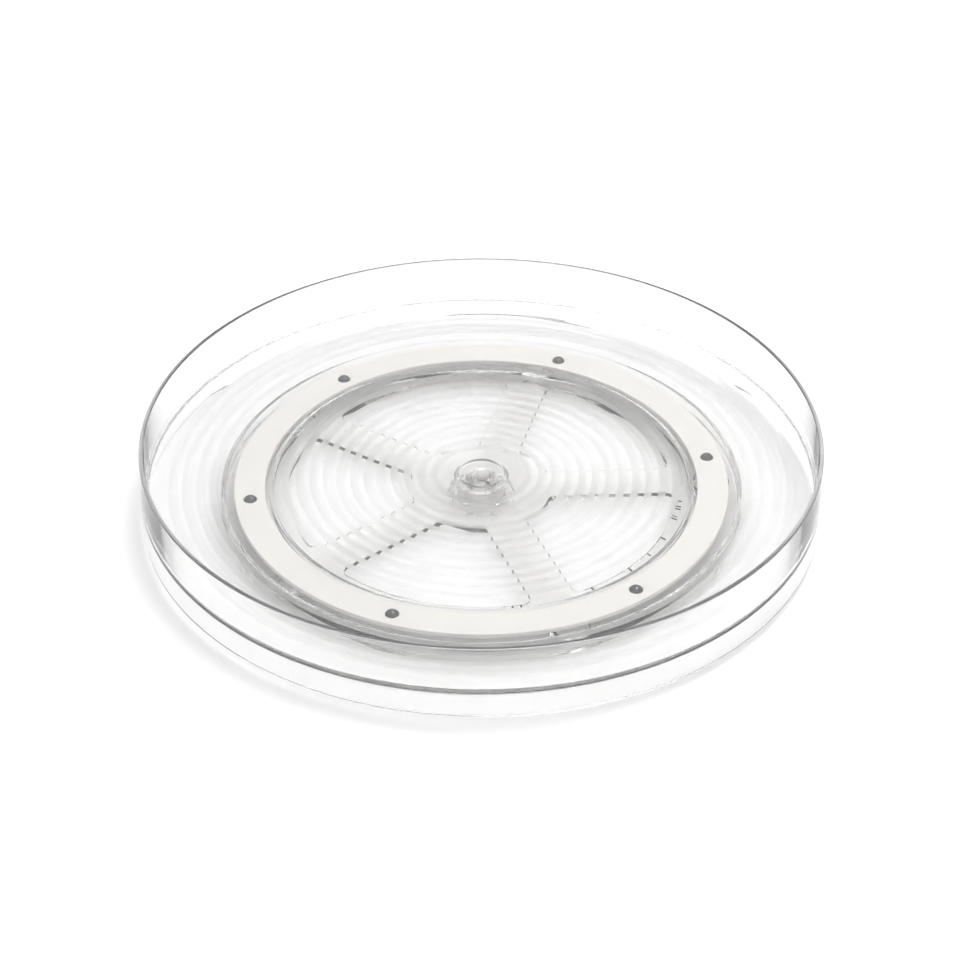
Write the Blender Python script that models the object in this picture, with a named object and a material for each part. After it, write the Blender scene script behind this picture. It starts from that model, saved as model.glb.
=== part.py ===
"""Clear lazy susan turntable: a round tray turning on six steel balls over a spoked base.

The origin is on the spin axis at the surface that the feet stand on. Metres, +Z up.
"""

from math import asin, cos, pi, radians, sin

import bmesh
import bpy
from mathutils import Matrix

MM = 0.001
ROUND_STEPS = 72
GAP = 0.3 * MM  # kept between pieces that touch on the real turntable

# Tray: its outside narrows from the skirt up to the rim, as it leaves its mould.
HEIGHT = 36.0 * MM
RIM_RADIUS = 139.0 * MM
RIM_WALL = 1.7 * MM
SKIRT_RADIUS = 140.0 * MM
SKIRT_WALL = 1.8 * MM
SKIRT_BOTTOM = 4.3 * MM
FLOOR_TOP = 15.6 * MM
FLOOR_THICK = 2.0 * MM
FLOOR_BOTTOM = FLOOR_TOP - FLOOR_THICK
FLOOR_RADIUS = 136.4 * MM  # where the floor's fillets start
FILLET = 0.7 * MM

# Hub cup in the middle of the tray, which drops round the pivot pin.
CUP_RADIUS = 9.3 * MM
CUP_WALL = 1.5 * MM
CUP_TOP = 12.2 * MM
CUP_BOTTOM = 10.4 * MM
CUP_HOLE = 6.1 * MM

# Ball race: six balls in a flat cage, running between the base and the tray's underside.
BALL_COUNT = 6
BALL_RADIUS = 2.75 * MM
BALL_PITCH = 95.6 * MM
BALL_PHASE = radians(9.0)
BALL_HEIGHT = FLOOR_BOTTOM - BALL_RADIUS - 0.2 * MM
CAGE_HALF_WIDTH = 6.4 * MM
CAGE_INNER = BALL_PITCH - CAGE_HALF_WIDTH
CAGE_OUTER = BALL_PITCH + CAGE_HALF_WIDTH
CAGE_BOTTOM = 9.8 * MM
CAGE_TOP = 11.8 * MM
POCKET_RADIUS = BALL_RADIUS + GAP

# Base: a thin plate with five windows, a wall on each side of the race and a hub tube.
PLATE_TOP = BALL_HEIGHT - BALL_RADIUS - 0.2 * MM
PLATE_BOTTOM = PLATE_TOP - 2.0 * MM
RACE_WALL_TOP = 11.4 * MM
INNER_WALL = (86.0 * MM, 87.6 * MM)
OUTER_WALL = (105.8 * MM, 107.5 * MM)
FLANGE_BOTTOM = 2.1 * MM
SPOKE_COUNT = 5
SPOKE_PHASE = radians(3.0)
SPOKE_HALF_WIDTH = 8.7 * MM
WINDOW_INNER = 29.2 * MM
WINDOW_OUTER = 79.9 * MM
WINDOW_CORNER = 4.0 * MM
HUB_TUBE = (11.7 * MM, 13.3 * MM)
HUB_TUBE_BOTTOM = 1.2 * MM

# Feet: soft pads set in shallow sockets under the race, one below the end of each spoke.
FOOT_COUNT = SPOKE_COUNT
FOOT_RADIUS = 6.0 * MM
FOOT_TOP = 2.8 * MM
SOCKET_RADIUS = FOOT_RADIUS + GAP
SOCKET_ROOF = FOOT_TOP + GAP
BOSS_RADIUS = 7.8 * MM
BOSS_BOTTOM = 1.2 * MM

# Pivot pin: pushed up from below through the base and the tray, with four springy prongs.
PIN_RADIUS = 5.6 * MM
PIN_HOLE = PIN_RADIUS + GAP
PIN_BORE = 4.0 * MM
PIN_TOP = 14.0 * MM
BARB_RADIUS = 6.7 * MM
BARB_BOTTOM = CUP_TOP + GAP
HEAD_RADIUS = 10.0 * MM
HEAD_TOP = PLATE_BOTTOM - GAP
HEAD_BOTTOM = HEAD_TOP - 1.4 * MM
SLOT_WIDTH = 1.5 * MM
SLOT_BOTTOM = 7.0 * MM
PRONG_PHASE = radians(28.0)


def clear_scene():
    for obj in list(bpy.data.objects):
        bpy.data.objects.remove(obj, do_unlink=True)


def material(name, color, roughness, metallic=0.0, transmission=0.0, ior=1.5):
    made = bpy.data.materials.new(name)
    made.use_nodes = True
    shader = made.node_tree.nodes["Principled BSDF"]
    shader.inputs["Base Color"].default_value = (*color, 1.0)
    shader.inputs["Roughness"].default_value = roughness
    shader.inputs["Metallic"].default_value = metallic
    shader.inputs["Transmission Weight"].default_value = transmission
    shader.inputs["IOR"].default_value = ior
    made.diffuse_color = (*color, 1.0)
    return made


def new_object(name, bm, finish=None):
    """The bmesh as an object, with its faces turned outwards and shaded smooth."""
    bmesh.ops.recalc_face_normals(bm, faces=bm.faces)
    mesh = bpy.data.meshes.new(name)
    bm.to_mesh(mesh)
    bm.free()
    mesh.shade_smooth()
    mesh.set_sharp_from_angle(angle=radians(35))
    if finish:
        mesh.materials.append(finish)
    obj = bpy.data.objects.new(name, mesh)
    bpy.context.collection.objects.link(obj)
    return obj


def turned(profile, steps=ROUND_STEPS):
    """A closed outline of (radius, height) points, turned round the Z axis."""
    bm = bmesh.new()
    points = [bm.verts.new((radius, 0.0, height)) for radius, height in profile]
    sides = [bm.edges.new(pair) for pair in zip(points, points[1:] + points[:1])]
    bmesh.ops.spin(
        bm, geom=points + sides, cent=(0, 0, 0), axis=(0, 0, 1), angle=2 * pi, steps=steps, use_merge=True
    )
    bmesh.ops.remove_doubles(bm, verts=bm.verts, dist=1e-6)
    bmesh.ops.dissolve_degenerate(bm, edges=bm.edges, dist=1e-6)
    return bm


def disc(radius, bottom, top, steps=24, place=(0.0, 0.0)):
    """A plain round slug, standing at a place in the XY plane."""
    bm = bmesh.new()
    move = Matrix.Translation((place[0], place[1], (bottom + top) / 2))
    bmesh.ops.create_cone(
        bm, cap_ends=True, segments=steps, radius1=radius, radius2=radius, depth=top - bottom, matrix=move
    )
    return bm


def boolean(obj, cutter, operation):
    """Adds a Boolean with a helper object, which isn't itself part of the turntable."""
    cutter.hide_render = True
    cutter.display_type = "WIRE"
    modifier = obj.modifiers.new(cutter.name, "BOOLEAN")
    modifier.operation = operation
    modifier.solver = "EXACT"
    modifier.object = cutter


def on_circle(radius, angle):
    return radius * cos(angle), radius * sin(angle)


def foot_places():
    return [on_circle(BALL_PITCH, SPOKE_PHASE + 2 * pi * i / FOOT_COUNT) for i in range(FOOT_COUNT)]


def ball_angles():
    return [BALL_PHASE + 2 * pi * i / BALL_COUNT for i in range(BALL_COUNT)]


def slugs(name, places, radius, bottom, top, steps):
    """One helper object that holds a slug at each place."""
    bm = bmesh.new()
    for place in places:
        move = Matrix.Translation((place[0], place[1], (bottom + top) / 2))
        bmesh.ops.create_cone(
            bm, cap_ends=True, segments=steps, radius1=radius, radius2=radius, depth=top - bottom, matrix=move
        )
    return new_object(name, bm)


def make_tray(finish):
    rim_inside = RIM_RADIUS - RIM_WALL
    skirt_inside = SKIRT_RADIUS - SKIRT_WALL
    edge = 0.3 * MM
    profile = [
        (CUP_HOLE, CUP_BOTTOM),
        (CUP_RADIUS + CUP_WALL, CUP_BOTTOM),
        (CUP_RADIUS + CUP_WALL, FLOOR_BOTTOM),
        (FLOOR_RADIUS, FLOOR_BOTTOM),
        (FLOOR_RADIUS + FILLET, FLOOR_BOTTOM - FILLET),
        (skirt_inside, SKIRT_BOTTOM),
        (SKIRT_RADIUS, SKIRT_BOTTOM),
        (RIM_RADIUS, HEIGHT - edge),
        (RIM_RADIUS - edge, HEIGHT),
        (rim_inside + edge, HEIGHT),
        (rim_inside, HEIGHT - edge),
        (FLOOR_RADIUS + FILLET, FLOOR_TOP + FILLET),
        (FLOOR_RADIUS, FLOOR_TOP),
        (CUP_RADIUS + edge, FLOOR_TOP),
        (CUP_RADIUS, FLOOR_TOP - edge),
        (CUP_RADIUS, CUP_TOP),
        (CUP_HOLE, CUP_TOP),
    ]
    return new_object("tray", turned(profile), finish)


def window(bm, start):
    """One window cutter: inner and outer arcs, and sides parallel to the spokes beside it."""
    outline = []
    for radius, steps, forward in ((WINDOW_OUTER, 12, True), (WINDOW_INNER, 5, False)):
        clear = asin(SPOKE_HALF_WIDTH / radius)
        span = 2 * pi / SPOKE_COUNT - 2 * clear
        order = range(steps + 1) if forward else range(steps, -1, -1)
        outline += [on_circle(radius, start + clear + span * i / steps) for i in order]
    corners = (0, 12, 13, 18)
    low = [bm.verts.new((x, y, PLATE_BOTTOM - MM)) for x, y in outline]
    face = bm.faces.new(low)
    raised = bmesh.ops.extrude_face_region(bm, geom=[face])["geom"]
    high = [item for item in raised if isinstance(item, bmesh.types.BMVert)]
    bmesh.ops.translate(bm, verts=high, vec=(0, 0, PLATE_TOP - PLATE_BOTTOM + 2 * MM))
    upright = [e for i in corners for e in low[i].link_edges if e.other_vert(low[i]) not in low]
    bmesh.ops.bevel(bm, geom=upright, offset=WINDOW_CORNER, segments=3, profile=0.5, affect="EDGES")


def make_base(finish):
    profile = [
        (PIN_HOLE, PLATE_BOTTOM),
        (HUB_TUBE[0], PLATE_BOTTOM),
        (HUB_TUBE[0], HUB_TUBE_BOTTOM),
        (HUB_TUBE[1], HUB_TUBE_BOTTOM),
        (HUB_TUBE[1], PLATE_BOTTOM),
        (OUTER_WALL[0], PLATE_BOTTOM),
        (OUTER_WALL[0], FLANGE_BOTTOM),
        (OUTER_WALL[1], FLANGE_BOTTOM),
        (OUTER_WALL[1], RACE_WALL_TOP),
        (OUTER_WALL[0], RACE_WALL_TOP),
        (OUTER_WALL[0], PLATE_TOP),
        (INNER_WALL[1], PLATE_TOP),
        (INNER_WALL[1], RACE_WALL_TOP),
        (INNER_WALL[0], RACE_WALL_TOP),
        (INNER_WALL[0], PLATE_TOP),
        (PIN_HOLE, PLATE_TOP),
    ]
    base = new_object("base", turned(profile), finish)
    bm = bmesh.new()
    for i in range(SPOKE_COUNT):
        window(bm, SPOKE_PHASE + 2 * pi * i / SPOKE_COUNT)
    boolean(base, new_object("window_cutters", bm), "DIFFERENCE")
    bosses = slugs("foot_bosses", foot_places(), BOSS_RADIUS, BOSS_BOTTOM, PLATE_BOTTOM + MM, 20)
    boolean(base, bosses, "UNION")
    sockets = slugs("foot_sockets", foot_places(), SOCKET_RADIUS, BOSS_BOTTOM - MM, SOCKET_ROOF, 20)
    boolean(base, sockets, "DIFFERENCE")
    return base


def make_cage(finish):
    profile = [
        (CAGE_INNER, CAGE_BOTTOM),
        (CAGE_OUTER, CAGE_BOTTOM),
        (CAGE_OUTER, CAGE_TOP),
        (CAGE_INNER, CAGE_TOP),
    ]
    cage = new_object("ball_cage", turned(profile), finish)
    places = [on_circle(BALL_PITCH, angle) for angle in ball_angles()]
    pockets = slugs("ball_pockets", places, POCKET_RADIUS, CAGE_BOTTOM - MM, CAGE_TOP + MM, 16)
    boolean(cage, pockets, "DIFFERENCE")
    return cage


def make_ball(name, angle, finish):
    """A ball whose local X points out along its rolling axis."""
    bm = bmesh.new()
    upright_to_x = Matrix.Rotation(pi / 2, 4, "Y")
    bmesh.ops.create_uvsphere(bm, u_segments=14, v_segments=9, radius=BALL_RADIUS, matrix=upright_to_x)
    ball = new_object(name, bm, finish)
    ball.location = (*on_circle(BALL_PITCH, angle), BALL_HEIGHT)
    ball.rotation_euler = (0, 0, angle)
    return ball


def make_pin(finish):
    """The snap pin: a head below the base, a hollow shaft, and a barb cut into four prongs."""
    profile = [
        (0.0, HEAD_BOTTOM),
        (HEAD_RADIUS, HEAD_BOTTOM),
        (HEAD_RADIUS, HEAD_TOP),
        (PIN_RADIUS, HEAD_TOP),
        (PIN_RADIUS, BARB_BOTTOM),
        (BARB_RADIUS, BARB_BOTTOM + 0.4 * MM),
        (BARB_RADIUS, BARB_BOTTOM + 0.9 * MM),
        (PIN_RADIUS, PIN_TOP),
        (PIN_BORE, PIN_TOP),
        (PIN_BORE, HEAD_TOP),
        (0.0, HEAD_TOP),
    ]
    pin = new_object("pivot_pin", turned(profile, 32), finish)
    bm = bmesh.new()
    size = (2 * BARB_RADIUS + 2 * MM, SLOT_WIDTH, 2 * (PIN_TOP - SLOT_BOTTOM))
    for turn in (0.0, pi / 2):
        place = Matrix.Translation((0, 0, PIN_TOP)) @ Matrix.Rotation(PRONG_PHASE + turn, 4, "Z")
        bmesh.ops.create_cube(bm, size=1.0, matrix=place @ Matrix.Diagonal((*size, 1.0)))
    cutter = new_object("prong_slots", bm)
    boolean(pin, cutter, "DIFFERENCE")
    pin.modifiers[0].use_self = True
    return pin


def make_foot(name, place, finish):
    return new_object(name, disc(FOOT_RADIUS, 0.0, FOOT_TOP, 20, place), finish)


def main():
    clear_scene()
    clear_plastic = material("clear_plastic", (0.93, 0.94, 0.94), 0.05, transmission=1.0, ior=1.49)
    cage_plastic = material("cage_plastic", (0.86, 0.84, 0.80), 0.35, transmission=0.3)
    steel = material("bearing_steel", (0.55, 0.56, 0.58), 0.12, metallic=1.0)
    silicone = material("foot_silicone", (0.85, 0.86, 0.86), 0.45, transmission=0.5, ior=1.41)
    make_base(clear_plastic)
    make_pin(clear_plastic)
    make_cage(cage_plastic)
    for number, angle in enumerate(ball_angles(), 1):
        make_ball(f"ball_{number}", angle, steel)
    for number, place in enumerate(foot_places(), 1):
        make_foot(f"foot_{number}", place, silicone)
    make_tray(clear_plastic)


main()
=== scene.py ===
"""How the clear lazy susan turntable looks: fine mouldings, finishes, floor, studio light and camera.

Metres, +Z up, with the origin on the spin axis at the surface that the feet stand on.
"""

from math import asin, cos, pi, radians, sin, sqrt, tan

import bmesh
import bpy
from mathutils import Matrix, Vector


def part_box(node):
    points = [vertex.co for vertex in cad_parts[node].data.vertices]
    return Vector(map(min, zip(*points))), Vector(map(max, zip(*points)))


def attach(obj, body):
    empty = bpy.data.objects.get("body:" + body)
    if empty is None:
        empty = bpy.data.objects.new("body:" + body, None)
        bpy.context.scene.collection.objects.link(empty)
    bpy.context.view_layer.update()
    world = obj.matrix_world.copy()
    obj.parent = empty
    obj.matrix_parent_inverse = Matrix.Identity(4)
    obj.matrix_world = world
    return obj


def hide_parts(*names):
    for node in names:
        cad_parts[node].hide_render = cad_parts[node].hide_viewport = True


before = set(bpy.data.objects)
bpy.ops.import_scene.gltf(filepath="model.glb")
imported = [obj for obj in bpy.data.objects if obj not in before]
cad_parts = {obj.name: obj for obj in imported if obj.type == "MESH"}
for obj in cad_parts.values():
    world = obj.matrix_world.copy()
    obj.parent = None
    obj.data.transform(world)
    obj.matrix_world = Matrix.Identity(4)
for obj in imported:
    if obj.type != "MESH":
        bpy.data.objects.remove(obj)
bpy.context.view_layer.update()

MM = 0.001
STEPS = 288  # facets round each large turned piece
SMALL_STEPS = 96  # facets round each small one
ARC_STEPS = 4  # facets across each rounded edge
CORNER_STEPS = 8  # facets round each window's corners
WINDOW_OUTER_STEPS = 48  # and along its arcs
WINDOW_INNER_STEPS = 16
BALL_SPLITS = 5
SHARP_ANGLE = radians(40)
WELD = 1e-7


def low_high(node):
    """A CAD node's lowest and highest corner, as vectors."""
    low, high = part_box(node)
    return Vector(low), Vector(high)


def middle_of(node):
    low, high = low_high(node)
    return (low + high) / 2


TRAY_LOW, TRAY_HIGH = low_high("tray")
BASE_LOW, BASE_HIGH = low_high("base")
CAGE_LOW, CAGE_HIGH = low_high("ball_cage")
PIN_LOW, PIN_HIGH = low_high("pivot_pin")
FOOT_HIGH = low_high("foot_1")[1]

# Tray: the outside narrows from the skirt up to the rim.
SKIRT_RADIUS = TRAY_HIGH.x
HEIGHT = TRAY_HIGH.z
SKIRT_BOTTOM = TRAY_LOW.z
RIM_RADIUS = SKIRT_RADIUS - 1.0 * MM
RIM_WALL = 1.7 * MM
RIM_EDGE = 0.6 * MM  # the band round the top of the rim: satin, and painted grey as painted shade
SKIRT_WALL = 1.8 * MM
FLOOR_TOP = 15.6 * MM
FLOOR_BOTTOM = 13.6 * MM
FLOOR_EDGE = 137.1 * MM  # where the floor meets the wall, inside its fillet
CUP_RADIUS = 9.3 * MM
CUP_WALL = 1.5 * MM
CUP_TOP = 12.2 * MM
CUP_BOTTOM = 10.4 * MM
CUP_HOLE = 6.1 * MM

# Polished ridges under the tray, with fine frosting between them.
RIDGE_PITCH = 0.04 * RIM_RADIUS
RIDGE_WIDTH = 0.38 * RIDGE_PITCH
RIDGE_SIDE = 0.08 * RIDGE_PITCH
RIDGE_HEIGHT = 0.12 * MM
INNER_RIDGES = (0.12 * RIM_RADIUS, 13)  # radius of the first, and how many
OUTER_RIDGES = (0.775 * RIM_RADIUS, 5)

# Base: a plate with five windows, a wall on each side of the race and a hub tube.
PLATE_TOP = 7.7 * MM
PLATE_BOTTOM = 5.7 * MM
RACE_WALL_TOP = BASE_HIGH.z
INNER_WALL = (86.0 * MM, 87.6 * MM)
OUTER_WALL = (105.8 * MM, BASE_HIGH.x)
FLANGE_BOTTOM = 2.1 * MM
HUB_TUBE = (11.7 * MM, 13.3 * MM)
HUB_TUBE_BOTTOM = BASE_LOW.z
SPOKE_COUNT = 5
SPOKE_PHASE = radians(3.0)
SPOKE_HALF_WIDTH = 8.7 * MM
WINDOW_INNER = 29.2 * MM
WINDOW_OUTER = 79.9 * MM
WINDOW_CORNER = 4.0 * MM
WINDOW_EDGE = 0.5 * MM  # rounding along both edges of each window
BASE_EDGE = 0.4 * MM  # rounding of the base's other edges
CUT_PAST = 0.3 * MM  # how far a window's cutter reaches past the plate

# Race: balls in the pockets of a flat cage.
BALL_COUNT = 6
BALL_RADIUS = 2.75 * MM
BALL_PITCH = middle_of("ball_1").xy.length
CAGE_OUTER = CAGE_HIGH.x
CAGE_INNER = 2 * BALL_PITCH - CAGE_OUTER
BALL_HEIGHT = middle_of("ball_1").z
POCKET_GAP = 0.2 * MM
POCKET_LIP = 0.3 * MM
POCKET_STEPS = 16
CAGE_EDGE = 0.35 * MM

# Feet and their sockets.
FOOT_RADIUS = 6.0 * MM
FOOT_EDGE = 0.5 * MM
SOCKET_RADIUS = FOOT_RADIUS + 0.3 * MM
SOCKET_ROOF = FOOT_HIGH.z + 0.3 * MM
BOSS_RADIUS = 7.8 * MM
BOSS_BOTTOM = 1.2 * MM

# Pivot pin.
PIN_RADIUS = 5.6 * MM
PIN_HOLE = 5.9 * MM
PIN_BORE = 4.0 * MM
BARB_RADIUS = 6.7 * MM
BARB_BOTTOM = CUP_TOP + 0.3 * MM
HEAD_RADIUS = PIN_HIGH.x
HEAD_TOP = PLATE_BOTTOM - 0.3 * MM
SLOT_WIDTH = 1.5 * MM
SLOT_BOTTOM = 7.0 * MM
PRONG_PHASE = radians(28.0)
PIN_EDGE = 0.3 * MM
BARB_SLOPE = 0.4 * MM
BARB_BAND = 0.5 * MM
BARB_EDGE = 0.2 * MM


# Shapes


def rounded(corners, steps=ARC_STEPS):
    """A closed outline from corners given as (radius, height, rounding)."""
    outline = []
    for i, (radius, height, size) in enumerate(corners):
        here = Vector((radius, height))
        back = (Vector(corners[i - 1][:2]) - here).normalized()
        ahead = (Vector(corners[(i + 1) % len(corners)][:2]) - here).normalized()
        if not size:
            outline.append(tuple(here))
            continue
        half = back.angle(ahead) / 2
        middle = here + (back + ahead).normalized() * size / sin(half)
        start = (here + back * size / tan(half) - middle).normalized()
        end = (here + ahead * size / tan(half) - middle).normalized()
        outline += [tuple(middle + start.slerp(end, i / steps) * size) for i in range(steps + 1)]
    return outline


def smoothed(mesh):
    mesh.shade_smooth()
    mesh.set_sharp_from_angle(angle=SHARP_ANGLE)


def finished(name, bm, finish):
    """The bmesh as a smooth shaded object with flat faces kept flat."""
    bmesh.ops.remove_doubles(bm, verts=bm.verts, dist=WELD)
    bmesh.ops.recalc_face_normals(bm, faces=bm.faces)
    mesh = bpy.data.meshes.new(name)
    bm.to_mesh(mesh)
    bm.free()
    smoothed(mesh)
    if finish:
        mesh.materials.append(finish)
    obj = bpy.data.objects.new(name, mesh)
    bpy.context.collection.objects.link(obj)
    return obj


def keep_flat(obj):
    """Large faces hold their own direction, so that rounded edges don't bend what is seen through them."""
    modifier = obj.modifiers.new("keep_flat", "WEIGHTED_NORMAL")
    modifier.keep_sharp = True
    modifier.weight = 100


def turned(outline, steps=STEPS):
    """A closed outline of (radius, height) points, turned round the Z axis."""
    bm = bmesh.new()
    rings = []
    for i in range(steps):
        angle = 2 * pi * i / steps
        rings.append([bm.verts.new((r * cos(angle), r * sin(angle), z)) for r, z in outline])
    for here, ahead in zip(rings, rings[1:] + rings[:1]):
        for j in range(len(outline)):
            k = (j + 1) % len(outline)
            bm.faces.new((here[j], here[k], ahead[k], ahead[j]))
    return bm


def stacked(bm, layers):
    """Closes equal outlines of 3-D points, given from the bottom up, into one body."""
    rings = [[bm.verts.new(point) for point in layer] for layer in layers]
    for low, high in zip(rings, rings[1:]):
        for j in range(len(low)):
            k = (j + 1) % len(low)
            bm.faces.new((low[j], low[k], high[k], high[j]))
    bm.faces.new(reversed(rings[0]))
    bm.faces.new(rings[-1])


def apply_boolean(obj, cutter, operation, own=False):
    modifier = obj.modifiers.new(cutter.name, "BOOLEAN")
    modifier.operation = operation
    modifier.solver = "EXACT"
    modifier.use_self = own
    modifier.object = cutter
    graph = bpy.context.evaluated_depsgraph_get()
    made = bpy.data.meshes.new_from_object(obj.evaluated_get(graph))
    obj.modifiers.clear()
    obj.data = made
    bpy.data.objects.remove(cutter, do_unlink=True)


def on_circle(radius, angle, height=0.0):
    return Vector((radius * cos(angle), radius * sin(angle), height))


def belongs(obj, body, node):
    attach(obj, body)
    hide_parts(node)


# Mouldings


def ridge_line(first, count):
    """The underside's outline across a group of ridges, going outwards."""
    line = []
    for i in range(count):
        middle = first + i * RIDGE_PITCH
        edge = RIDGE_WIDTH / 2
        foot = edge + RIDGE_SIDE
        for reach, depth in ((-foot, 0.0), (-edge, 1.0), (edge, 1.0), (foot, 0.0)):
            line.append((middle + reach, FLOOR_BOTTOM - depth * RIDGE_HEIGHT, 0.0))
    return line


def make_tray(finish):
    cup_outside = CUP_RADIUS + CUP_WALL
    corners = [
        (CUP_HOLE, CUP_BOTTOM, 0.3 * MM),
        (cup_outside, CUP_BOTTOM, 0.7 * MM),
        (cup_outside, FLOOR_BOTTOM, 0.9 * MM),
        *ridge_line(*INNER_RIDGES),
        *ridge_line(*OUTER_RIDGES),
        (FLOOR_EDGE, FLOOR_BOTTOM, 0.8 * MM),
        (SKIRT_RADIUS - SKIRT_WALL, SKIRT_BOTTOM, 0.6 * MM),
        (SKIRT_RADIUS, SKIRT_BOTTOM, 0.6 * MM),
        (RIM_RADIUS, HEIGHT, 0.5 * MM),
        (RIM_RADIUS - RIM_WALL, HEIGHT, 0.5 * MM),
        (FLOOR_EDGE, FLOOR_TOP, 1.0 * MM),
        (CUP_RADIUS, FLOOR_TOP, 0.5 * MM),
        (CUP_RADIUS, CUP_TOP, 0.5 * MM),
        (CUP_HOLE, CUP_TOP, 0.3 * MM),
    ]
    tray = finished("tray_moulding", turned(rounded(corners)), finish)
    keep_flat(tray)
    belongs(tray, "tray", "tray")


def window_outline(start, grown, height):
    """One window's outline, moved outwards by `grown`, between the spoke at `start` and the next."""
    ahead = start + 2 * pi / SPOKE_COUNT
    aside = SPOKE_HALF_WIDTH + WINDOW_CORNER
    far = WINDOW_OUTER - WINDOW_CORNER
    near = WINDOW_INNER + WINDOW_CORNER
    far_turn = asin(aside / far)
    near_turn = asin(aside / near)
    corners = (
        (far, start + far_turn, start - pi / 2, start + far_turn),
        (far, ahead - far_turn, ahead - far_turn, ahead + pi / 2),
        (near, ahead - near_turn, ahead + pi / 2, ahead - near_turn + pi),
        (near, start + near_turn, start + near_turn + pi, start + 3 * pi / 2),
    )
    outline = []
    for i, (radius, place, begin, end) in enumerate(corners):
        middle = on_circle(radius, place, height)
        for j in range(CORNER_STEPS + 1):
            turn = begin + (end - begin) * j / CORNER_STEPS
            outline.append(middle + on_circle(WINDOW_CORNER + grown, turn))
        if i == 0:
            edge = WINDOW_OUTER + grown
            step = (ahead - start - 2 * far_turn) / WINDOW_OUTER_STEPS
            outline += [on_circle(edge, place + step * j, height) for j in range(1, WINDOW_OUTER_STEPS)]
        if i == 2:
            edge = WINDOW_INNER - grown
            step = (ahead - start - 2 * near_turn) / WINDOW_INNER_STEPS
            outline += [on_circle(edge, place - step * j, height) for j in range(1, WINDOW_INNER_STEPS)]
    return outline


def window_cutters():
    """Cutters whose flared ends leave each window with rounded edges."""
    levels = [(WINDOW_EDGE + CUT_PAST, PLATE_BOTTOM - CUT_PAST)]
    for i in range(ARC_STEPS, -1, -1):
        turn = pi / 2 * i / ARC_STEPS
        levels.append((WINDOW_EDGE * (1 - cos(turn)), PLATE_BOTTOM + WINDOW_EDGE * (1 - sin(turn))))
    for i in range(ARC_STEPS + 1):
        turn = pi / 2 * i / ARC_STEPS
        levels.append((WINDOW_EDGE * (1 - cos(turn)), PLATE_TOP - WINDOW_EDGE * (1 - sin(turn))))
    levels.append((WINDOW_EDGE + CUT_PAST, PLATE_TOP + CUT_PAST))
    bm = bmesh.new()
    for i in range(SPOKE_COUNT):
        start = SPOKE_PHASE + 2 * pi * i / SPOKE_COUNT
        stacked(bm, [window_outline(start, grown, height) for grown, height in levels])
    return finished("window_cutters", bm, None)


def slugs(name, places, outline, steps=SMALL_STEPS):
    """One helper with a turned slug at each place. The outline starts and ends on its axis."""
    bm = bmesh.new()
    for place in places:
        rings = []
        for radius, height in outline:
            rings.append([place + on_circle(radius, 2 * pi * i / steps, height) for i in range(steps)])
        stacked(bm, rings)
    return finished(name, bm, None)


def make_base(finish):
    edge = BASE_EDGE
    corners = [
        (PIN_HOLE, PLATE_BOTTOM, 0.0),
        (HUB_TUBE[0], PLATE_BOTTOM, edge),
        (HUB_TUBE[0], HUB_TUBE_BOTTOM, edge),
        (HUB_TUBE[1], HUB_TUBE_BOTTOM, edge),
        (HUB_TUBE[1], PLATE_BOTTOM, edge),
        (OUTER_WALL[0], PLATE_BOTTOM, edge),
        (OUTER_WALL[0], FLANGE_BOTTOM, edge),
        (OUTER_WALL[1], FLANGE_BOTTOM, edge),
        (OUTER_WALL[1], RACE_WALL_TOP, edge),
        (OUTER_WALL[0], RACE_WALL_TOP, edge),
        (OUTER_WALL[0], PLATE_TOP, edge),
        (INNER_WALL[1], PLATE_TOP, edge),
        (INNER_WALL[1], RACE_WALL_TOP, edge),
        (INNER_WALL[0], RACE_WALL_TOP, edge),
        (INNER_WALL[0], PLATE_TOP, edge),
        (PIN_HOLE, PLATE_TOP, 0.3 * MM),
    ]
    base = finished("base_moulding", turned(rounded(corners)), finish)
    apply_boolean(base, window_cutters(), "DIFFERENCE")
    places = [on_circle(BALL_PITCH, SPOKE_PHASE + 2 * pi * i / SPOKE_COUNT) for i in range(SPOKE_COUNT)]
    boss = [
        (BOSS_RADIUS - edge, BOSS_BOTTOM),
        (BOSS_RADIUS - edge / 4, BOSS_BOTTOM + edge / 4),
        (BOSS_RADIUS, BOSS_BOTTOM + edge),
        (BOSS_RADIUS, PLATE_BOTTOM + MM),
    ]
    apply_boolean(base, slugs("foot_bosses", places, boss), "UNION")
    socket = [(SOCKET_RADIUS, BOSS_BOTTOM - MM), (SOCKET_RADIUS, SOCKET_ROOF)]
    apply_boolean(base, slugs("foot_sockets", places, socket), "DIFFERENCE")
    smoothed(base.data)
    keep_flat(base)
    belongs(base, "base", "base")


def pocket_radius(above):
    """A pocket hugs its ball, and opens out into a small rounded lip at the cage's faces."""
    reach = BALL_RADIUS + POCKET_GAP
    hug = sqrt(max(reach**2 - above**2, 0.0))
    from_face = min(CAGE_HIGH.z - BALL_HEIGHT - above, BALL_HEIGHT + above - CAGE_LOW.z)
    short = max(POCKET_LIP - from_face, 0.0)
    return hug + POCKET_LIP - sqrt(POCKET_LIP**2 - short**2)


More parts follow.
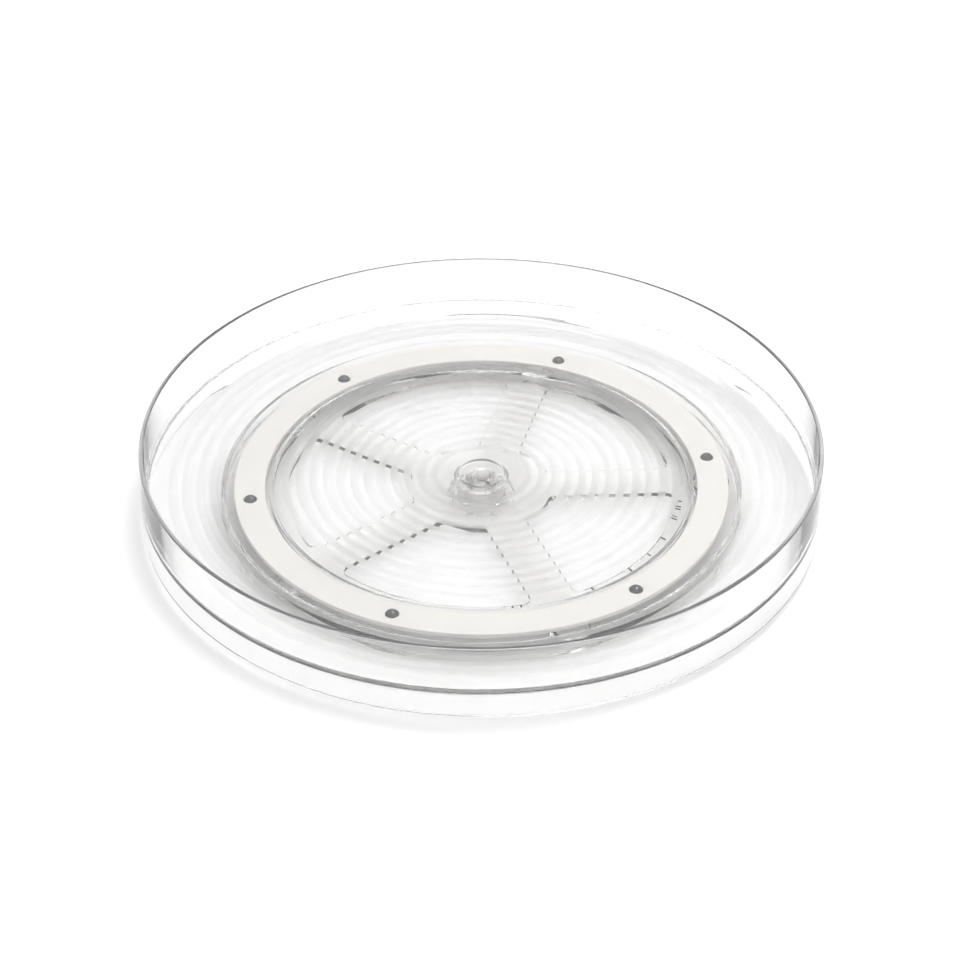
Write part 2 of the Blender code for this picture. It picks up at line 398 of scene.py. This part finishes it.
def make_cage(finish):
    edge = CAGE_EDGE
    corners = [
        (CAGE_INNER, CAGE_LOW.z, edge),
        (CAGE_OUTER, CAGE_LOW.z, edge),
        (CAGE_OUTER, CAGE_HIGH.z, edge),
        (CAGE_INNER, CAGE_HIGH.z, edge),
    ]
    cage = finished("cage_moulding", turned(rounded(corners)), finish)
    places = [middle_of(f"ball_{number}").xy.to_3d() for number in range(1, BALL_COUNT + 1)]
    pocket = [(pocket_radius(CAGE_LOW.z - BALL_HEIGHT) + POCKET_LIP, CAGE_LOW.z - POCKET_LIP)]
    for i in range(POCKET_STEPS + 1):
        height = CAGE_LOW.z + (CAGE_HIGH.z - CAGE_LOW.z) * i / POCKET_STEPS
        pocket.append((pocket_radius(height - BALL_HEIGHT), height))
    pocket.append((pocket_radius(CAGE_HIGH.z - BALL_HEIGHT) + POCKET_LIP, CAGE_HIGH.z + POCKET_LIP))
    apply_boolean(cage, slugs("ball_pockets", places, pocket), "DIFFERENCE")
    smoothed(cage.data)
    keep_flat(cage)
    belongs(cage, "cage", "ball_cage")


def make_ball(number, finish):
    bm = bmesh.new()
    bmesh.ops.create_icosphere(bm, subdivisions=BALL_SPLITS, radius=BALL_RADIUS)
    ball = finished(f"ball_{number}_steel", bm, finish)
    ball.location = middle_of(f"ball_{number}")
    belongs(ball, f"ball_{number}", f"ball_{number}")


def make_pin(finish):
    edge = PIN_EDGE
    corners = [
        (0.0, PIN_LOW.z, 0.0),
        (HEAD_RADIUS, PIN_LOW.z, edge),
        (HEAD_RADIUS, HEAD_TOP, edge),
        (PIN_RADIUS, HEAD_TOP, 0.0),
        (PIN_RADIUS, BARB_BOTTOM, 0.0),
        (BARB_RADIUS, BARB_BOTTOM + BARB_SLOPE, BARB_EDGE),
        (BARB_RADIUS, BARB_BOTTOM + BARB_SLOPE + BARB_BAND, BARB_EDGE),
        (PIN_RADIUS, PIN_HIGH.z, edge),
        (PIN_BORE, PIN_HIGH.z, edge),
        (PIN_BORE, HEAD_TOP, edge),
        (0.0, HEAD_TOP, 0.0),
    ]
    pin = finished("pin_moulding", turned(rounded(corners), SMALL_STEPS), finish)
    bm = bmesh.new()
    size = (2 * BARB_RADIUS + 2 * MM, SLOT_WIDTH, 2 * (PIN_HIGH.z - SLOT_BOTTOM))
    for turn in (0.0, pi / 2):
        place = Matrix.Translation((0, 0, PIN_HIGH.z)) @ Matrix.Rotation(PRONG_PHASE + turn, 4, "Z")
        bmesh.ops.create_cube(bm, size=1.0, matrix=place @ Matrix.Diagonal((*size, 1.0)))
    apply_boolean(pin, finished("prong_slots", bm, None), "DIFFERENCE", own=True)
    smoothed(pin.data)
    keep_flat(pin)
    belongs(pin, "base", "pivot_pin")


def make_foot(number, finish):
    low, high = low_high(f"foot_{number}")
    edge = FOOT_EDGE
    corners = [
        (0.0, low.z, 0.0),
        (FOOT_RADIUS, low.z, edge),
        (FOOT_RADIUS, high.z, edge),
        (0.0, high.z, 0.0),
    ]
    foot = finished(f"foot_{number}_pad", turned(rounded(corners), SMALL_STEPS), finish)
    foot.location = middle_of(f"foot_{number}").xy.to_3d()
    keep_flat(foot)
    belongs(foot, "base", f"foot_{number}")


# Finishes

# Refraction is set well below real styrene's 1.59, which keeps edges and spokes faint.
TRAY_INDEX = 1.33
BASE_INDEX = 1.22
PIN_INDEX = 1.34
# Grey painted on the rim top as painted shade, standing in for the dark line that light trapped in the
# wall gives round the rim.
RIM_PAINTED_SHADE = (0.6, 0.605, 0.615)


class Finish:
    """A material with one Principled shader, and short names for the nodes that feed it."""

    def __init__(self, name, **numbers):
        self.material = bpy.data.materials.new(name)
        self.material.use_nodes = True
        self.nodes = self.material.node_tree.nodes
        self.links = self.material.node_tree.links
        self.shader = self.nodes["Principled BSDF"]
        for socket, number in numbers.items():
            self.shader.inputs[socket.replace("_", " ")].default_value = number
        self.place = self.nodes.new("ShaderNodeTexCoord").outputs["Object"]

    def feed(self, socket, value):
        if isinstance(value, bpy.types.NodeSocket):
            self.links.new(value, socket)
        else:
            socket.default_value = value

    def math(self, operation, *values):
        node = self.nodes.new("ShaderNodeMath")
        node.operation = operation
        for socket, value in zip(node.inputs, values):
            self.feed(socket, value)
        return node.outputs[0]

    def ramp(self, value, low, high, start=0.0, end=1.0):
        """`value` from low to high becomes start to end."""
        node = self.nodes.new("ShaderNodeMapRange")
        node.interpolation_type = "SMOOTHSTEP"
        self.feed(node.inputs["Value"], value)
        for socket, number in zip(("From Min", "From Max", "To Min", "To Max"), (low, high, start, end)):
            node.inputs[socket].default_value = number
        return node.outputs["Result"]

    def noise(self, scale, detail=3.0):
        node = self.nodes.new("ShaderNodeTexNoise")
        node.inputs["Scale"].default_value = scale
        node.inputs["Detail"].default_value = detail
        self.links.new(self.place, node.inputs["Vector"])
        return node.outputs["Fac"]

    def blend(self, share, first, second):
        node = self.nodes.new("ShaderNodeMix")
        node.data_type = "RGBA"
        self.feed(node.inputs[0], share)
        for socket, colour in zip(node.inputs[6:8], (first, second)):
            self.feed(socket, colour if isinstance(colour, bpy.types.NodeSocket) else (*colour, 1.0))
        return node.outputs[2]

    def bump(self, height, distance, strength):
        node = self.nodes.new("ShaderNodeBump")
        node.inputs["Strength"].default_value = strength
        node.inputs["Distance"].default_value = distance
        self.links.new(height, node.inputs["Height"])
        self.links.new(node.outputs["Normal"], self.shader.inputs["Normal"])

    def set(self, socket, value):
        self.feed(self.shader.inputs[socket], value)


def between_ridges(finish, radius, first, count):
    """1 between the ridges of a group and 0 on them and outside the group."""
    edge = RIDGE_WIDTH / 2
    soft = RIDGE_SIDE
    share = finish.math("SUBTRACT", radius, first - RIDGE_PITCH / 2)
    inside = finish.math("MODULO", share, RIDGE_PITCH)
    off = finish.math("ABSOLUTE", finish.math("SUBTRACT", inside, RIDGE_PITCH / 2))
    band = finish.ramp(off, edge, edge + soft)
    start = finish.math("GREATER_THAN", radius, first)
    end = finish.math("LESS_THAN", radius, first + (count - 1) * RIDGE_PITCH)
    return finish.math("MULTIPLY", band, finish.math("MULTIPLY", start, end))


def clear_plastic(name, index, dull, bright):
    """Polished clear styrene, frosted between the tray's ridges, with a satin rim top painted grey as
    painted shade.
    """
    finish = Finish(name, Transmission_Weight=0.975, IOR=index)
    split = finish.nodes.new("ShaderNodeSeparateXYZ")
    finish.links.new(finish.place, split.inputs[0])
    x, y, z = split.outputs
    squares = finish.math("ADD", finish.math("MULTIPLY", x, x), finish.math("MULTIPLY", y, y))
    radius = finish.math("SQRT", squares)
    inner = between_ridges(finish, radius, *INNER_RIDGES)
    outer = between_ridges(finish, radius, *OUTER_RIDGES)
    above = finish.math("GREATER_THAN", z, FLOOR_BOTTOM - 0.3 * MM)
    below = finish.math("LESS_THAN", z, FLOOR_BOTTOM + 0.1 * MM)
    underside = finish.math("MULTIPLY", above, below)
    frosted = finish.math("MULTIPLY", finish.math("MAXIMUM", inner, outer), underside)
    cloud = finish.noise(60.0)
    polish = finish.ramp(cloud, 0.3, 0.7, 0.012, 0.045)
    grain = finish.ramp(finish.noise(900.0), 0.3, 0.7, 0.34, 0.46)
    rim_top = finish.math("GREATER_THAN", z, HEIGHT - RIM_EDGE)
    frosted = finish.math("MAXIMUM", frosted, rim_top)
    rough = finish.math("ADD", polish, finish.math("MULTIPLY", frosted, grain))
    finish.set("Roughness", rough)
    clear = finish.blend(cloud, dull, bright)
    # The rim top's grey is painted shade, not a colour of the plastic.
    finish.set("Base Color", finish.blend(rim_top, clear, RIM_PAINTED_SHADE))
    finish.bump(finish.noise(45.0, 1.0), 0.06 * MM, 0.5)
    return finish.material


def pin_plastic():
    """Clear nylon, slightly clouded, so that the prongs read softly in the cup."""
    finish = Finish("pin_plastic", Transmission_Weight=0.85, IOR=PIN_INDEX)
    cloud = finish.noise(220.0)
    finish.set("Base Color", finish.blend(cloud, (0.97, 0.962, 0.95), (0.99, 0.985, 0.975)))
    finish.set("Roughness", finish.ramp(cloud, 0.3, 0.7, 0.16, 0.26))
    finish.bump(finish.noise(900.0, 2.0), 0.01 * MM, 0.3)
    return finish.material


def cage_plastic():
    """Natural translucent resin with a faint satin grain."""
    finish = Finish("cage_plastic", IOR=1.4, Transmission_Weight=0.12)
    cloud = finish.noise(90.0)
    finish.set("Base Color", finish.blend(cloud, (0.90, 0.875, 0.84), (0.925, 0.902, 0.868)))
    finish.set("Roughness", finish.ramp(finish.noise(500.0), 0.3, 0.7, 0.34, 0.48))
    finish.bump(finish.noise(1400.0, 2.0), 0.02 * MM, 0.4)
    return finish.material


def bearing_steel():
    """Polished steel with the faint haze of a ball that has run in its race, painted far darker than real
    steel as a painted reflection of dark surroundings.
    """
    finish = Finish("bearing_steel", Metallic=1.0)
    haze = finish.noise(700.0, 4.0)
    # The very dark steel colour is painted reflection: it stands in for the dark surroundings that a real
    # ball mirrors.
    finish.set("Base Color", finish.blend(haze, (0.07, 0.07, 0.073), (0.10, 0.10, 0.104)))
    finish.set("Roughness", finish.ramp(haze, 0.3, 0.7, 0.03, 0.08))
    finish.bump(finish.noise(2500.0, 2.0), 0.005 * MM, 0.3)
    return finish.material


def foot_silicone():
    """Soft clear silicone with a matte moulded skin."""
    finish = Finish("foot_silicone", Transmission_Weight=0.6, IOR=1.41)
    cloud = finish.noise(300.0)
    finish.set("Base Color", finish.blend(cloud, (0.88, 0.885, 0.88), (0.93, 0.93, 0.925)))
    finish.set("Roughness", finish.ramp(cloud, 0.3, 0.7, 0.38, 0.52))
    finish.bump(finish.noise(1800.0, 2.0), 0.02 * MM, 0.4)
    return finish.material


# Studio

SKY_LEVEL = 1.05
LAMP_WIDTH = 0.7
LAMP_POWER = 9.0
LIGHT_BOUNCES = 28


def make_floor():
    finish = Finish("studio_floor")
    finish.set("Base Color", finish.blend(finish.noise(1.5), (0.90, 0.90, 0.90), (0.92, 0.92, 0.92)))
    finish.set("Roughness", 0.8)
    bm = bmesh.new()
    bmesh.ops.create_grid(bm, x_segments=1, y_segments=1, size=4.0)
    floor = finished("studio_floor", bm, finish.material)


def soft_light(name, place, aim, size, power):
    light = bpy.data.lights.new(name, "AREA")
    light.shape = "DISK"
    light.size = size
    light.energy = power
    obj = bpy.data.objects.new(name, light)
    obj.location = place
    obj.rotation_euler = (Vector(aim) - Vector(place)).to_track_quat("-Z", "Y").to_euler()
    bpy.context.collection.objects.link(obj)


def make_sky():
    """A bright tent from above and behind, darker near the horizon and on the camera's side."""
    world = bpy.data.worlds.new("studio")
    world.use_nodes = True
    nodes = world.node_tree.nodes
    links = world.node_tree.links
    split = nodes.new("ShaderNodeSeparateXYZ")
    links.new(nodes.new("ShaderNodeTexCoord").outputs["Generated"], split.inputs[0])
    falls = []
    for axis, numbers in (("Z", (0.0, 0.35, 0.86, 1.0)), ("Y", (-0.85, -0.45, 0.9, 1.0))):
        fall = nodes.new("ShaderNodeMapRange")
        fall.interpolation_type = "SMOOTHSTEP"
        for socket, number in zip(("From Min", "From Max", "To Min", "To Max"), numbers):
            fall.inputs[socket].default_value = number
        links.new(split.outputs[axis], fall.inputs["Value"])
        falls.append(fall.outputs["Result"])
    both = nodes.new("ShaderNodeMath")
    both.operation = "MULTIPLY"
    for socket, fall in zip(both.inputs, falls):
        links.new(fall, socket)
    level = nodes.new("ShaderNodeMath")
    level.operation = "MULTIPLY"
    level.inputs[1].default_value = SKY_LEVEL
    links.new(both.outputs[0], level.inputs[0])
    links.new(level.outputs[0], nodes["Background"].inputs["Strength"])
    nodes["Background"].inputs["Color"].default_value = (1.0, 1.0, 1.0, 1.0)
    bpy.context.scene.world = world


def make_studio():
    make_floor()
    make_sky()
    soft_light("overhead", (0.3, 0.1, 1.2), (0.0, 0.0, 0.0), LAMP_WIDTH, LAMP_POWER)
    scene = bpy.context.scene
    scene.view_settings.view_transform = "Standard"
    scene.cycles.max_bounces = LIGHT_BOUNCES
    scene.cycles.transmission_bounces = LIGHT_BOUNCES


def make_camera():
    """Looks along +Y and down, with the rim's centre just above the middle of the picture."""
    down = radians(35.73)
    distance = 7.067 * RIM_RADIUS
    aside = -0.0023 * RIM_RADIUS
    raised = -0.1447 * RIM_RADIUS
    forward = Vector((0, cos(down), -sin(down)))
    up = Vector((0, sin(down), cos(down)))
    right = Vector((1, 0, 0))
    place = Vector((0, 0, HEIGHT)) - distance * forward + aside * right + raised * up
    data = bpy.data.cameras.new("camera")
    data.lens = 90.17
    data.sensor_width = 36.0
    camera = bpy.data.objects.new("camera", data)
    camera.matrix_world = Matrix.Translation(place) @ Matrix((right, up, -forward)).transposed().to_4x4()
    bpy.context.collection.objects.link(camera)
    bpy.context.scene.camera = camera


def main():
    tray_clear = clear_plastic("tray_clear", TRAY_INDEX, (0.99, 0.992, 0.99), (0.998, 0.998, 0.996))
    base_clear = clear_plastic("base_clear", BASE_INDEX, (0.99, 0.986, 0.976), (0.999, 0.996, 0.99))
    steel = bearing_steel()
    silicone = foot_silicone()
    make_base(base_clear)
    make_pin(pin_plastic())
    make_cage(cage_plastic())
    for number in range(1, BALL_COUNT + 1):
        make_ball(number, steel)
    for number in range(1, SPOKE_COUNT + 1):
        make_foot(number, silicone)
    make_tray(tray_clear)
    make_studio()
    make_camera()


main()
